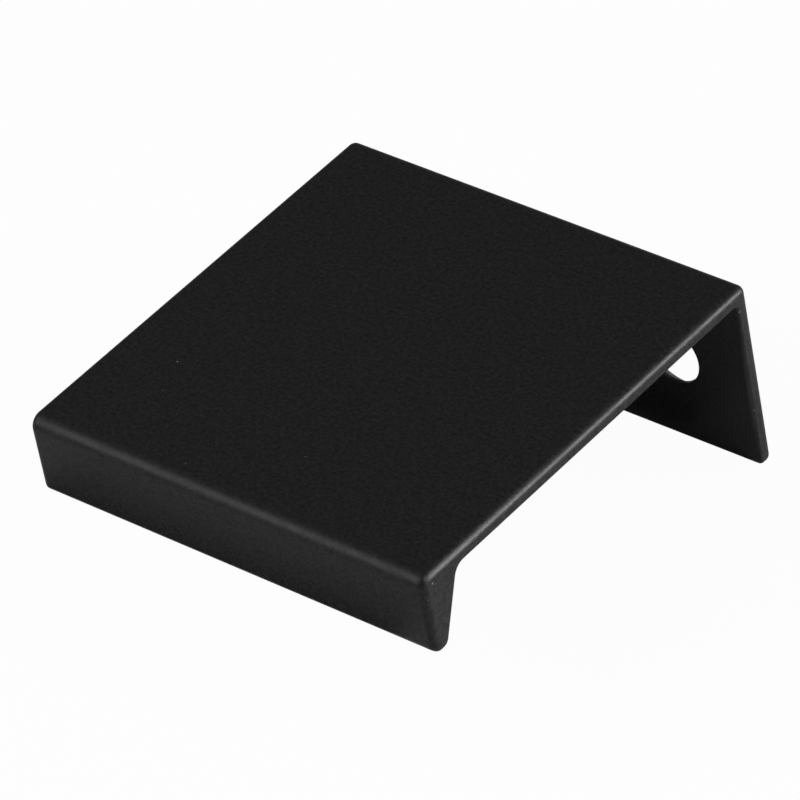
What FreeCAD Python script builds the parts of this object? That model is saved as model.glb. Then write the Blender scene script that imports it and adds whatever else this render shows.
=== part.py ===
import FreeCAD, Part
import collections
import enum
import math
import os
import Sketcher

# Tab pull: one cut length of extruded aluminium that hooks over the edge of a door or drawer front.
# A flat plate lies on the door's edge. The flange behind it takes two countersunk screws into the
# door's back, and the wedge-shaped lip in front is what the fingers pull.
#
# Frame, in millimetres: X runs along the width, +Y from the lip to the flange, +Z up.
# The origin lies midway between the two screw holes, on the flange's face against the door.

SHEET = "Sizes"
LABEL = "tab_pull"

# Driving dimensions: name, value in millimetres or degrees, meaning.
SIZES = [
    ("width", 40.95, "cut length of the extrusion"),
    ("depth", 41.4, "front of the lip to the back of the flange"),
    ("plate_thickness", 1.45, "wall of the plate"),
    ("flange_thickness", 1.45, "wall of the flange"),
    ("flange_height", 18.15, "top of the plate to the foot of the flange"),
    ("lip_height", 7.6, "top of the plate to the tip of the lip"),
    ("lip_root", 4.15, "thickness of the lip under the plate"),
    ("lip_tip", 1.65, "thickness of the lip at its tip"),
    ("front_edge_radius", 1.25, "rounding between the plate and the lip's front"),
    ("back_edge_radius", 0.8, "rounding between the plate and the flange's back"),
    ("tip_radius", 0.82, "rounding of the lip's tip"),
    ("foot_radius", 0.65, "rounding of the flange's foot"),
    ("lip_fillet", 1.2, "fillet between the plate and the lip"),
    ("flange_fillet", 0.4, "fillet between the plate and the flange"),
    ("outer_end_round", 0.7, "rounding of the cut ends on the outer faces"),
    ("inner_end_round", 0.3, "rounding of the cut ends on the inner faces"),
    ("hole_spacing", 25.0, "distance between the screw holes"),
    ("hole_drop", 7.85, "underside of the plate to the screw holes"),
    ("hole_diameter", 5.7, "screw hole at the face against the door"),
    ("countersink_diameter", 8.0, "mouth of the countersink in the flange's back"),
    ("countersink_angle", 90.0, "full angle of the countersink"),
    ("drill_run_out", 2.0, "how far the drill passes the flange"),
]

# A rounding takes at most this share of the wall that it is cut into.
WALL_SHARE = 0.5
FOOT_SHARE = 0.45
# The rounding of a cut end stays inside the corner that it follows, by this share of its radius.
CORNER_SHARE = 0.95
# Two lengths closer than this are the same.
TOLERANCE = 1e-5

# A corner of the section: its sharp point, the radius that rounds it, and whether it points outward.
Corner = collections.namedtuple("Corner", "y z radius convex")


class Spot(enum.IntEnum):
    """Points of a line, arc or circle, as sketch constraints number them."""

    START = 1
    END = 2
    CENTRE = 3


class Axis(enum.IntEnum):
    """The sketch's own axes, as constraints number them. The horizontal one starts at the origin."""

    HORIZONTAL = -1
    VERTICAL = -2


def bound(name):
    """Expression that reads one size from the sheet."""
    return f"{SHEET}.{name}"


def bound_within(name, wall, share):
    """Expression for a rounding that its wall limits."""
    return f"min({bound(name)}; {bound(wall)} * {share})"


def make_sheet(document):
    """Spreadsheet with one row for each driving dimension."""
    sheet = document.addObject("Spreadsheet::Sheet", SHEET)
    for row, (name, value, meaning) in enumerate(SIZES, start=1):
        sheet.set(f"A{row}", name)
        sheet.set(f"B{row}", str(value))
        sheet.setAlias(f"B{row}", name)
        sheet.set(f"C{row}", meaning)
    document.recompute()
    return sheet


def origin_plane(body, role):
    """One of the body's own origin planes."""
    return next(item for item in body.Origin.OriginFeatures if item.Role == role)


def flat_sketch(body, name, role):
    """Empty sketch on one of the body's origin planes."""
    sketch = body.newObject("Sketcher::SketchObject", name)
    sketch.AttachmentSupport = [(origin_plane(body, role), "")]
    sketch.MapMode = "FlatFace"
    return sketch


def drive(sketch, constraint, expression):
    """Add a dimension to the sketch and bind it to the sheet."""
    index = sketch.addConstraint(constraint)
    sketch.setExpression(f"Constraints[{index}]", expression)


def section_corners(sheet):
    """Corners of the section, counter-clockwise seen from +X, from the lip's front at the top."""
    back = sheet.flange_thickness
    front = back - sheet.depth
    underside = sheet.hole_drop
    top = underside + sheet.plate_thickness
    tip = top - sheet.lip_height
    foot = top - sheet.flange_height
    tip_radius = min(sheet.tip_radius, sheet.lip_tip * WALL_SHARE)
    foot_radius = min(sheet.foot_radius, sheet.flange_thickness * FOOT_SHARE)
    return [
        Corner(front, top, sheet.front_edge_radius, True),
        Corner(front, tip, tip_radius, True),
        Corner(front + sheet.lip_tip, tip, tip_radius, True),
        Corner(front + sheet.lip_root, underside, sheet.lip_fillet, False),
        Corner(0.0, underside, sheet.flange_fillet, False),
        Corner(0.0, foot, foot_radius, True),
        Corner(back, foot, foot_radius, True),
        Corner(back, top, sheet.back_edge_radius, True),
    ]


def sketch_point(corner):
    """The corner's sharp point in the plane of the sketch."""
    return FreeCAD.Vector(corner.y, corner.z, 0)


def corner_arc(before, corner, after):
    """Arc that rounds a corner of the section, with the points where it leaves the two sides."""
    point = sketch_point(corner)
    to_before = (sketch_point(before) - point).normalize()
    to_after = (sketch_point(after) - point).normalize()
    half_angle = to_before.getAngle(to_after) / 2
    arrive = point + to_before * (corner.radius / math.tan(half_angle))
    leave = point + to_after * (corner.radius / math.tan(half_angle))
    inward = (to_before + to_after).normalize()
    centre = point + inward * (corner.radius / math.sin(half_angle))
    middle = centre - inward * corner.radius
    if corner.convex:
        arc = Part.Arc(arrive, middle, leave)
    else:
        arc = Part.Arc(leave, middle, arrive)
    return arc, arrive, leave


def draw_section(sketch, sheet):
    """Section of the extrusion: eight sides, each corner rounded, every size from the sheet."""
    corners = section_corners(sheet)
    count = len(corners)
    rounded = [
        corner_arc(corners[i - 1], corners[i], corners[(i + 1) % count]) for i in range(count)
    ]
    arcs = [sketch.addGeometry(arc) for arc, _, _ in rounded]
    sides = []
    for i in range(count):
        leave = rounded[i][2]
        arrive = rounded[(i + 1) % count][1]
        sides.append(sketch.addGeometry(Part.LineSegment(leave, arrive)))

    # Each arc runs on smoothly into the sides before and after it.
    for i, corner in enumerate(corners):
        arc_ends = (Spot.START, Spot.END) if corner.convex else (Spot.END, Spot.START)
        joins = [
            (sides[i - 1], Spot.END, arcs[i], arc_ends[0]),
            (arcs[i], arc_ends[1], sides[i], Spot.START),
        ]
        for join in joins:
            sketch.addConstraint(Sketcher.Constraint("Tangent", *join))

    front, tip, lip_back, underside, seat, foot, back, top = sides
    for side in (front, seat, back):
        sketch.addConstraint(Sketcher.Constraint("Vertical", side))
    for side in (tip, underside, foot, top):
        sketch.addConstraint(Sketcher.Constraint("Horizontal", side))

    # The seat lies on the vertical axis, and the hole axis at the origin's height.
    sketch.addConstraint(Sketcher.Constraint("PointOnObject", seat, Spot.START, Axis.VERTICAL))
    dimensions = [
        ("DistanceX", seat, back, "flange_thickness"),
        ("DistanceX", front, back, "depth"),
        ("DistanceY", Axis.HORIZONTAL, underside, "hole_drop"),
        ("DistanceY", underside, top, "plate_thickness"),
        ("DistanceY", foot, top, "flange_height"),
        ("DistanceY", tip, top, "lip_height"),
    ]
    for kind, first, second, name in dimensions:
        starts = (first, Spot.START, second, Spot.START)
        drive(sketch, Sketcher.Constraint(kind, *starts, getattr(sheet, name)), bound(name))

    # The lip's sloping back passes through its two sharp corners, which its thicknesses place.
    lip_back_corners = [(tip, corners[2], "lip_tip"), (underside, corners[3], "lip_root")]
    for side, corner, name in lip_back_corners:
        mark = sketch.addGeometry(Part.Point(sketch_point(corner)), True)
        sketch.addConstraint(Sketcher.Constraint("PointOnObject", mark, Spot.START, side))
        sketch.addConstraint(Sketcher.Constraint("PointOnObject", mark, Spot.START, lip_back))
        starts = (front, Spot.START, mark, Spot.START)
        drive(sketch, Sketcher.Constraint("DistanceX", *starts, getattr(sheet, name)), bound(name))

    radii = [
        bound("front_edge_radius"),
        bound_within("tip_radius", "lip_tip", WALL_SHARE),
        bound_within("tip_radius", "lip_tip", WALL_SHARE),
        bound("lip_fillet"),
        bound("flange_fillet"),
        bound_within("foot_radius", "flange_thickness", FOOT_SHARE),
        bound_within("foot_radius", "flange_thickness", FOOT_SHARE),
        bound("back_edge_radius"),
    ]
    for arc, corner, expression in zip(arcs, corners, radii):
        drive(sketch, Sketcher.Constraint("Radius", arc, corner.radius), expression)


def extrude_section(body, sheet):
    """The extrusion, cut to width and centred on X = 0."""
    sketch = flat_sketch(body, "section", "YZ_Plane")
    draw_section(sketch, sheet)
    pad = body.newObject("PartDesign::Pad", "extrusion")
    pad.Profile = sketch
    pad.SideType = "Symmetric"
    pad.setExpression("Length", bound("width"))
    body.Document.recompute()
    return pad


def drill_screw_holes(body, sheet):
    """Two screw holes, countersunk from the back of the flange."""
    sketch = flat_sketch(body, "hole_centre", "XZ_Plane")
    sketch.setExpression("AttachmentOffset.Base.z", f"-{bound('flange_thickness')}")
    centre = FreeCAD.Vector(sheet.hole_spacing / 2, 0, 0)
    radius = sheet.hole_diameter / 2
    circle = sketch.addGeometry(Part.Circle(centre, FreeCAD.Vector(0, 0, 1), radius))
    spots = (Axis.HORIZONTAL, Spot.START, circle, Spot.CENTRE)
    drive(sketch, Sketcher.Constraint("DistanceX", *spots, centre.x), f"{bound('hole_spacing')} / 2")
    sketch.addConstraint(Sketcher.Constraint("PointOnObject", circle, Spot.CENTRE, Axis.HORIZONTAL))
    drive(sketch, Sketcher.Constraint("Diameter", circle, 2 * radius), bound("hole_diameter"))
    body.Document.recompute()

    hole = body.newObject("PartDesign::Hole", "screw_hole")
    hole.Profile = sketch
    hole.ThreadType = "None"
    hole.HoleCutType = "Countersink"
    hole.DepthType = "Dimension"
    hole.DrillPoint = "Flat"
    hole.Reversed = True
    hole.setExpression("Diameter", bound("hole_diameter"))
    hole.setExpression("HoleCutDiameter", bound("countersink_diameter"))
    hole.setExpression("HoleCutCountersinkAngle", bound("countersink_angle"))
    hole.setExpression("Depth", f"{bound('flange_thickness')} + {bound('drill_run_out')}")
    body.Document.recompute()

    mirror = body.newObject("PartDesign::Mirrored", "other_screw_hole")
    mirror.Originals = [hole]
    mirror.MirrorPlane = (origin_plane(body, "YZ_Plane"), [""])
    body.Tip = mirror
    body.Document.recompute()
    return mirror


def cut_end_edges(shape, sheet):
    """Numbers and edges of the outline at both cut ends."""
    half = sheet.width / 2
    found = []
    for number, edge in enumerate(shape.Edges, start=1):
        box = edge.BoundBox
        at_one_end = box.XLength < TOLERANCE
        if at_one_end and abs(abs(box.Center.x) - half) < TOLERANCE:
            found.append((number, edge))
    return found


def nearest_corner(point, sheet):
    """Corner of the section that lies nearest to a point of the outline."""

    def distance(corner):
        return math.hypot(point.y - corner.y, point.z - corner.z)

    return min(section_corners(sheet), key=distance)


def end_rounding_at(point, sheet):
    """Rounding of the cut end at a point where a side of the section runs into a corner.

    Buffing takes more off the faces that show: the lip's front, the top, the back and the foot.
    The rounding stays inside the corner that it follows.
    """
    back = sheet.flange_thickness
    front = back - sheet.depth
    top = sheet.hole_drop + sheet.plate_thickness
    foot = top - sheet.flange_height
    on_front_or_back = min(abs(point.y - front), abs(point.y - back)) < TOLERANCE
    on_top_or_foot = min(abs(point.z - top), abs(point.z - foot)) < TOLERANCE
    outside = on_front_or_back or on_top_or_foot
    rounding = sheet.outer_end_round if outside else sheet.inner_end_round
    return min(rounding, nearest_corner(point, sheet).radius * CORNER_SHARE)


def round_cut_ends(document, body, sheet):
    """The finished pull: the edges of both cut ends rounded, wide outside and narrow inside."""
    roundings = []
    for number, edge in cut_end_edges(body.Shape, sheet):
        first = end_rounding_at(edge.firstVertex().Point, sheet)
        last = end_rounding_at(edge.lastVertex().Point, sheet)
        roundings.append((number, first, last))
    rounded = document.addObject("Part::Fillet", "rounded_ends")
    rounded.Base = body
    rounded.Edges = roundings
    rounded.Label = LABEL
    rounded.Placement = FreeCAD.Placement()
    document.recompute()
    return rounded


def check(document, part):
    """Stop if any object failed, or the part isn't one valid solid."""
    for item in document.Objects:
        if "Invalid" in item.State or "Error" in item.State:
            raise RuntimeError(f"{item.Name} is {item.State}")
    if part.Shape.isNull() or not part.Shape.isValid() or len(part.Shape.Solids) != 1:
        raise RuntimeError(f"{part.Label} is not one valid solid")


def main():
    document = FreeCAD.newDocument("tab_pull")
    sheet = make_sheet(document)
    body = document.addObject("PartDesign::Body", "extruded_body")
    extrusion = extrude_section(body, sheet)
    drilled = drill_screw_holes(body, sheet)
    if drilled.Shape.Volume >= extrusion.Shape.Volume - TOLERANCE:
        raise RuntimeError("the screw holes cut nothing")
    pull = round_cut_ends(document, body, sheet)
    check(document, pull)
    os.makedirs("parts", exist_ok=True)
    pull.Shape.exportStep(os.path.join("parts", f"{pull.Label}.step"))


main()
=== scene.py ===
"""Looks of a small black tab pull: the coat on its one piece, a pale floor, studio light and a camera."""

import bpy
from mathutils import Matrix, Vector


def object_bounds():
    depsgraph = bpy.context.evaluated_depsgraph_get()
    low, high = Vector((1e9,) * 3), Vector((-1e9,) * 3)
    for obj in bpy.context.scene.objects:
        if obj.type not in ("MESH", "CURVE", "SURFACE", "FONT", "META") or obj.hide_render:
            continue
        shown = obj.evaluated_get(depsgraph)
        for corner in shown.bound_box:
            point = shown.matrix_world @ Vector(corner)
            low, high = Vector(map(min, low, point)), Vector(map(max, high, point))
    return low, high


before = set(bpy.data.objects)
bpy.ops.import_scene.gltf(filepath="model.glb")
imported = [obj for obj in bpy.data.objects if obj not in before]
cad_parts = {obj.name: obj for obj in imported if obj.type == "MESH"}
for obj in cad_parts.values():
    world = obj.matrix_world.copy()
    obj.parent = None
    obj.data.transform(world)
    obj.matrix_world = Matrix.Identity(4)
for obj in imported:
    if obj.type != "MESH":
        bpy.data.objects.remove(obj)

CAD_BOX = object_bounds()
MM = 0.001
NODE = "tab_pull"
SLOT = "black_powder_coat"

# The pull's sides in millimetres, from its CAD box, and its middle in metres.
RIGHT = CAD_BOX[1].x / MM
FRONT = CAD_BOX[0].y / MM
TOP = CAD_BOX[1].z / MM
BOTTOM = CAD_BOX[0].z / MM
CENTRE = (CAD_BOX[0] + CAD_BOX[1]) / 2

# Camera, solved from the straight edges of the pull in the photograph. Its clip distances are in metres.
CAMERA_PLACE = (0.312162, -0.318448, 0.345848)
CAMERA_RIGHT = (0.76561, 0.62536, -0.15086)
CAMERA_UP = (-0.30581, 0.56012, 0.76991)
CAMERA_CLIP = (0.01, 20.0)
FOCAL_PIXELS = 6888.2
IMAGE_WIDTH = 800.0
SENSOR = 36.0

# Lamps, in metres and watts. Each lamp faces its aim, and its direction is from there to the lamp. The last
# one is for the coat's reflections alone.
RIGHT_CORNER = Vector((RIGHT - 0.275, FRONT + 0.75, TOP - 0.30)) * MM
LAMPS = [
    # name, aim, direction, distance, (width, height), power, lights matt surfaces
    ("side_softbox", CENTRE, (0.834, 0.518, 0.115), 0.60, (0.42, 0.23), 8.2, True),
    ("front_softbox", CENTRE, (-0.48, -0.64, 0.545), 0.50, (0.42, 0.32), 1.64, True),
    ("top_softbox", CENTRE, (-0.55, -0.02, 0.83), 0.50, (0.30, 0.30), 0.11, True),
    ("corner_softbox", RIGHT_CORNER, (0.668, 0.563, 0.486), 0.028, (0.010, 0.010), 0.0056, False),
]

# Brightness of the white surroundings as fill light, and in the coat's own reflections.
FILL = 0.12
REFLECTED = 0.07

# The floor: its edges in millimetres, how much of its white is glow, and the colour of the rest.
FLOOR_EDGES = (-3000.0, -3000.0, 3000.0, 3000.0)
FLOOR_GLOW = 0.965
FLOOR_COLOUR = 0.8

# Dark cards under the pull, in millimetres. Only the coat's reflections see them. They shade the lip's front
# and the flange's inner face as a table right under the pull would.
CARDS = [
    # name, (left, front, right, back), height over the floor, colour
    ("lip_card", (-24.0, -45.0, 14.0, -40.2), 7.5, 0.07),
    ("plate_card", (-32.0, -14.0, 12.0, -1.0), 0.2, 0.38),
]

# The coat: its colour, the lowest and highest share of that colour from spot to spot, its shine and its
# lowest and highest roughness.
COAT_COLOUR = 0.0085
TONE_SHARES = (0.3, 1.7)
SPECULAR = 0.20
ROUGHNESS = (0.40, 0.48)

# Noise patterns of the coat, with scales in cells per metre. Nearly all of their values are in the range.
TONE_NOISE = {"Scale": 3000.0, "Detail": 3.0, "Roughness": 0.6}
GLOSS_NOISE = {"Scale": 900.0, "Detail": 4.0}
GRAIN_NOISE = {"Scale": 2800.0, "Detail": 2.0}
NOISE_RANGE = (0.3, 0.7)

# The grain's depth in metres, how strongly it shows, and how many times stronger it is on the two ends. An
# end begins where the X part of the surface normal passes the first value and is full at the second.
GRAIN_DEPTH = 0.026 * MM
GRAIN_STRENGTH = 0.5
END_GRAIN = 1.8
END_NORMAL = (0.6, 0.95)

# Dust specks, and lighter spots that are painted highlights: place on the coat and radius, in millimetres,
# how much of the coat is covered there, and how many times longer the spot is along Z than across.
# Colour of both the dust and the painted highlights.
DUST_AND_HIGHLIGHT_COLOUR = 0.30
DUST_AND_HIGHLIGHT_SPOTS = [
    # On the plate's top.
    ((-14.20, -28.54, TOP), 0.14, 0.55, 1.0),
    ((-12.86, -31.95, TOP), 0.11, 0.30, 1.0),
    ((-5.20, -38.02, TOP), 0.12, 0.25, 1.0),
    ((2.76, -32.67, TOP), 0.10, 0.25, 1.0),
    # A painted highlight at the lip's right front corner, and dust on the lip's front.
    ((RIGHT - 0.235, FRONT + 0.78, TOP - 0.30), 0.36, 0.12, 1.0),
    ((RIGHT, FRONT + 1.15, TOP - 0.97), 0.13, 0.45, 1.0),
    ((RIGHT - 0.055, FRONT + 0.44, TOP - 2.17), 0.10, 0.20, 1.0),
    ((RIGHT - 3.385, FRONT, TOP - 4.70), 0.10, 0.20, 1.0),
    # A painted highlight: a faint lighter line along the inner edge of the flange's right end, with two
    # brighter spots.
    ((RIGHT - 0.205, 0.01, -1.20), 0.26, 0.10, 30.0),
    ((RIGHT - 0.045, 0.13, -2.90), 0.18, 0.14, 1.0),
    ((RIGHT - 0.015, 0.21, 7.25), 0.20, 0.18, 1.0),
]

# Step from one node to the next in the node editor.
NODE_STEP = 200.0


def grey(value):
    return (value, value, value, 1.0)


def empty_material(name):
    material = bpy.data.materials.new(name)
    material.use_nodes = True
    material.node_tree.nodes.clear()
    return material


def add_node(tree, kind, inputs=None, **settings):
    """A shader node, to the right of those before it. Each input is a node's output or a plain value."""
    node = tree.nodes.new("ShaderNode" + kind)
    node.location.x = NODE_STEP * len(tree.nodes)
    for name, value in settings.items():
        setattr(node, name, value)
    for name, value in (inputs or {}).items():
        if isinstance(value, bpy.types.NodeSocket):
            tree.links.new(value, node.inputs[name])
        else:
            node.inputs[name].default_value = value
    return node


def add_math(tree, operation, first, second):
    return add_node(tree, "Math", {0: first, 1: second}, operation=operation).outputs["Value"]


def add_noise(tree, pattern, place):
    return add_node(tree, "TexNoise", {"Vector": place, **pattern}).outputs["Fac"]


def add_range(tree, value, old, new, **settings):
    """The value, moved from its old range to a new one."""
    inputs = {"Value": value, "From Min": old[0], "From Max": old[1], "To Min": new[0], "To Max": new[1]}
    return add_node(tree, "MapRange", inputs, **settings).outputs["Result"]


def dust_and_highlight_cover(tree, place):
    """How much of the coat is covered by dust or by painted highlights. Each is a soft spot round its own
    place.
    """
    cover = 0.0
    for centre, radius, strength, stretch in DUST_AND_HIGHLIGHT_SPOTS:
        away = add_node(tree, "VectorMath", {0: place, 1: Vector(centre) * MM}, operation="SUBTRACT")
        factors = {0: away.outputs["Vector"], 1: (1.0, 1.0, 1.0 / stretch)}
        squeezed = add_node(tree, "VectorMath", factors, operation="MULTIPLY")
        gap = add_node(tree, "VectorMath", {0: squeezed.outputs["Vector"]}, operation="LENGTH")
        old, new = (radius * MM, 0.0), (0.0, strength)
        dust_or_highlight_spot = add_range(tree, gap.outputs["Value"], old, new, interpolation_type="SMOOTHSTEP")
        cover = add_math(tree, "MAXIMUM", cover, dust_or_highlight_spot)
    return cover


def coat_colour(tree, place):
    """Slightly uneven near black, with the dust and the painted highlights over it."""
    tones = add_node(tree, "ValToRGB", {"Fac": add_noise(tree, TONE_NOISE, place)})
    for stop, position, share in zip(tones.color_ramp.elements, NOISE_RANGE, TONE_SHARES):
        stop.position = position
        stop.color = grey(COAT_COLOUR * share)
    layers = {"Factor": dust_and_highlight_cover(tree, place), "A": tones.outputs["Color"], "B": grey(DUST_AND_HIGHLIGHT_COLOUR)}
    return add_node(tree, "Mix", layers, data_type="RGBA").outputs["Result"]


def coat_roughness(tree, place):
    return add_range(tree, add_noise(tree, GLOSS_NOISE, place), NOISE_RANGE, ROUGHNESS)


def coat_grain(tree, place, normal):
    """Surface normal of the pebbled coat. The sawn ends are coarser than the extruded faces."""
    facing = add_node(tree, "SeparateXYZ", {"Vector": normal})
    sideways = add_node(tree, "Math", {0: facing.outputs["X"]}, operation="ABSOLUTE")
    coarseness = add_range(tree, sideways.outputs["Value"], END_NORMAL, (1.0, END_GRAIN))
    height = add_math(tree, "MULTIPLY", add_noise(tree, GRAIN_NOISE, place), coarseness)
    bump = {"Strength": GRAIN_STRENGTH, "Distance": GRAIN_DEPTH, "Height": height}
    return add_node(tree, "Bump", bump).outputs["Normal"]


def make_coat():
    """Matt powder coat: near black, with a fine pebbled grain and slightly uneven gloss."""
    material = empty_material(SLOT)
    tree = material.node_tree
    coordinates = add_node(tree, "TexCoord")
    place = coordinates.outputs["Object"]
    look = {
        "Base Color": coat_colour(tree, place),
        "Metallic": 0.0,
        "Roughness": coat_roughness(tree, place),
        "Specular IOR Level": SPECULAR,
        "Normal": coat_grain(tree, place, coordinates.outputs["Normal"]),
    }
    shader = add_node(tree, "BsdfPrincipled", look)
    add_node(tree, "OutputMaterial", {"Surface": shader.outputs["BSDF"]})
    return material


def whiteness(tree):
    """1 for rays that come straight from the camera or through something, and less for mirrored ones."""
    path = add_node(tree, "LightPath").outputs
    straight = add_math(tree, "MAXIMUM", path["Is Camera Ray"], path["Is Transmission Ray"])
    mirrored = add_math(tree, "MULTIPLY", path["Is Glossy Ray"], REFLECTED)
    return add_math(tree, "MAXIMUM", straight, mirrored)


def make_sheet(name, edges, height, material):
    """A level rectangle, with its edges (left, front, right, back) and height in millimetres."""
    left, front, right, back = edges
    outline = [(left, front), (right, front), (right, back), (left, back)]
    mesh = bpy.data.meshes.new(name)
    mesh.from_pydata([(x * MM, y * MM, height * MM) for x, y in outline], [], [(0, 1, 2, 3)])
    mesh.materials.append(material)
    sheet = bpy.data.objects.new(name, mesh)
    bpy.context.scene.collection.objects.link(sheet)
    return sheet


def make_floor():
    """A plain white floor. It glows for the camera, so that only a faint shadow of the pull stays on it."""
    material = empty_material("white_floor")
    tree = material.node_tree
    matt = add_node(tree, "BsdfDiffuse", {"Color": grey(FLOOR_COLOUR)})
    glow = add_node(tree, "Emission", {"Color": grey(1.0), "Strength": 1.0})
    share = add_math(tree, "MULTIPLY", whiteness(tree), FLOOR_GLOW)
    layers = {"Fac": share, 1: matt.outputs["BSDF"], 2: glow.outputs["Emission"]}
    mix = add_node(tree, "MixShader", layers)
    add_node(tree, "OutputMaterial", {"Surface": mix.outputs["Shader"]})
    floor = make_sheet("floor", FLOOR_EDGES, BOTTOM, material)


def make_cards():
    for name, edges, lift, colour in CARDS:
        material = empty_material(name)
        tree = material.node_tree
        matt = add_node(tree, "BsdfDiffuse", {"Color": grey(colour)})
        add_node(tree, "OutputMaterial", {"Surface": matt.outputs["BSDF"]})
        card = make_sheet(name, edges, BOTTOM + lift, material)
        card.visible_camera = False
        card.visible_diffuse = False
        card.visible_shadow = False


def make_world():
    """White where it is seen, and a soft fill for everything else."""
    world = bpy.data.worlds.new("studio")
    bpy.context.scene.world = world
    world.use_nodes = True
    tree = world.node_tree
    tree.nodes.clear()
    level = add_range(tree, whiteness(tree), (0.0, 1.0), (FILL, 1.0))
    background = add_node(tree, "Background", {"Color": grey(1.0), "Strength": level})
    add_node(tree, "OutputWorld", {"Surface": background.outputs["Background"]})


def make_lamps():
    for name, aim, direction, distance, size, power, lights_matt in LAMPS:
        data = bpy.data.lights.new(name, "AREA")
        data.shape = "RECTANGLE"
        data.size, data.size_y = size
        data.energy = power
        lamp = bpy.data.objects.new(name, data)
        way = Vector(direction).normalized()
        lamp.location = aim + way * distance
        lamp.rotation_euler = way.to_track_quat("Z", "Y").to_euler()
        lamp.visible_camera = False
        lamp.visible_diffuse = lights_matt
        bpy.context.scene.collection.objects.link(lamp)


def make_camera():
    data = bpy.data.cameras.new("camera")
    data.sensor_width = SENSOR
    data.lens = FOCAL_PIXELS / IMAGE_WIDTH * SENSOR
    data.clip_start, data.clip_end = CAMERA_CLIP
    camera = bpy.data.objects.new("camera", data)
    right = Vector(CAMERA_RIGHT).normalized()
    back = right.cross(Vector(CAMERA_UP)).normalized()
    up = back.cross(right)
    turn = Matrix((right, up, back)).transposed().to_4x4()
    camera.matrix_world = Matrix.Translation(CAMERA_PLACE) @ turn
    bpy.context.scene.collection.objects.link(camera)
    bpy.context.scene.camera = camera


def dress_pull():
    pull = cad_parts[NODE]
    coat = make_coat()
    for slot in pull.material_slots:
        slot.material = coat


make_camera()
make_world()
make_floor()
make_cards()
make_lamps()
dress_pull()
bpy.context.scene.view_settings.view_transform = "Standard"
